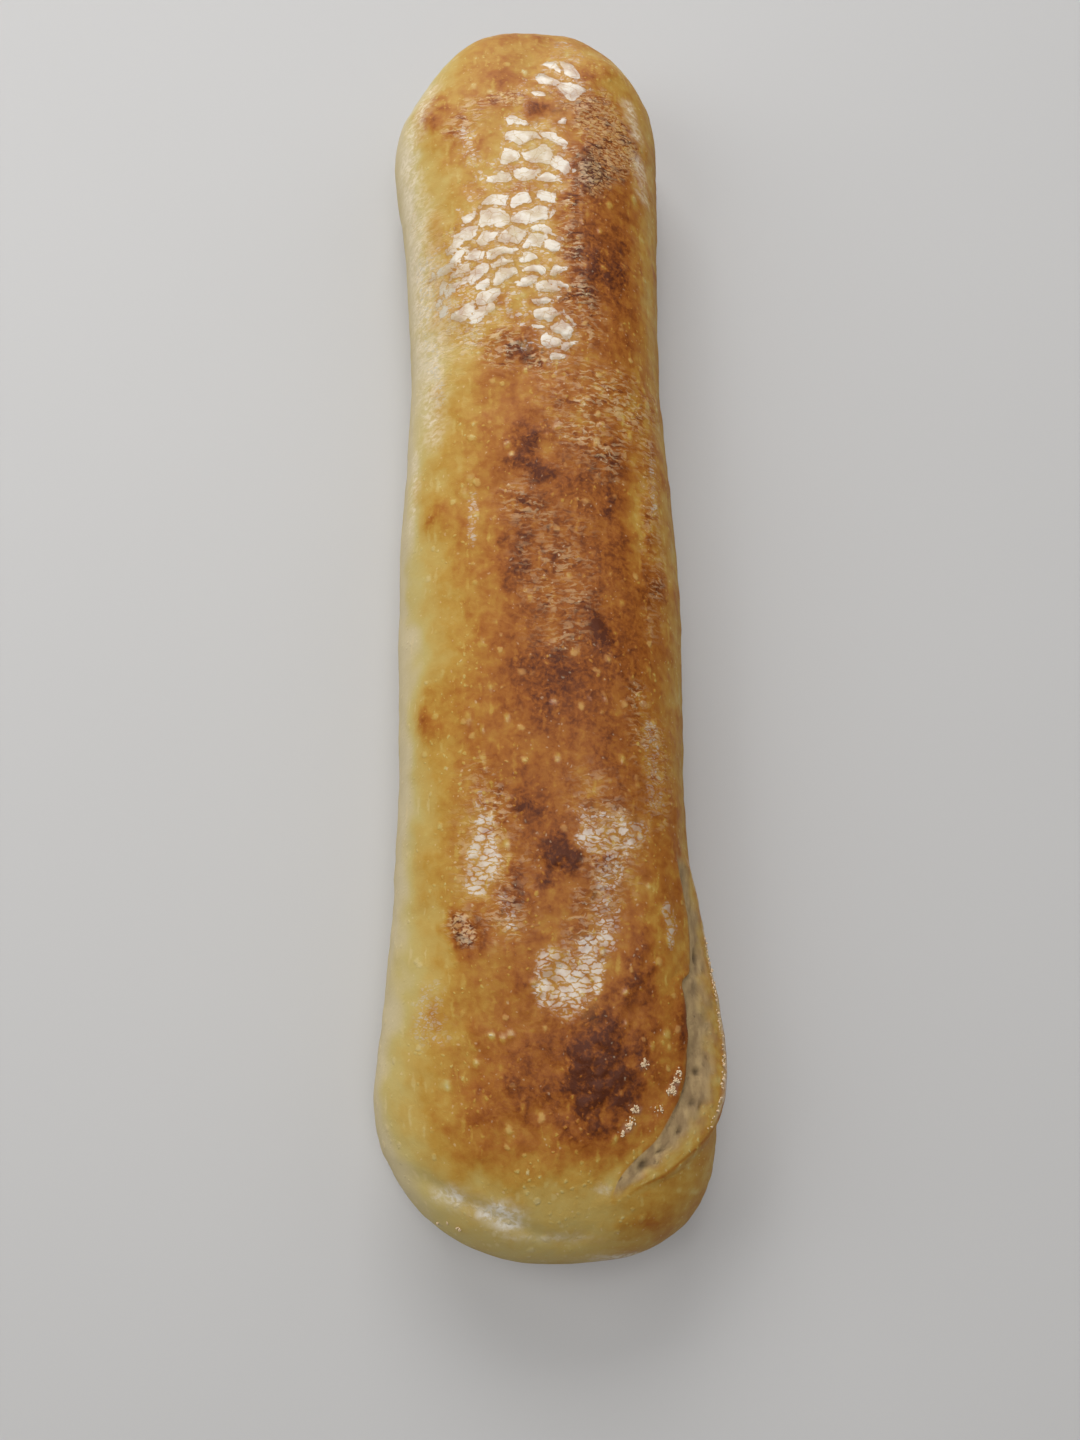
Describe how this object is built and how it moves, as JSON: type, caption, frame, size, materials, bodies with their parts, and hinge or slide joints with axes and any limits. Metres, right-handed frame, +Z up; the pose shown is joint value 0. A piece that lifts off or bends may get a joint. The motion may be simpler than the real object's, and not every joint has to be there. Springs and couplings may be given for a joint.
{
  "type": "ciabatta loaf",
  "caption": "Long round-ended ciabatta loaf with a flat base, a browned blistered crust and one end burst open along its side.",
  "frame": {"origin": "middle of the flat base, halfway along the loaf and halfway across it", "axes": "+Y along the loaf away from the burst end, +X to the side the burst is on, +Z up from the base"},
  "size_m": [0.0957, 0.379, 0.0513],
  "materials": {
    "crust": "baked bread crust, satin to glossy, with pale floury sides"
  },
  "bodies": {
    "root": {"loaf": "crust"}
  },
  "joints": []
}
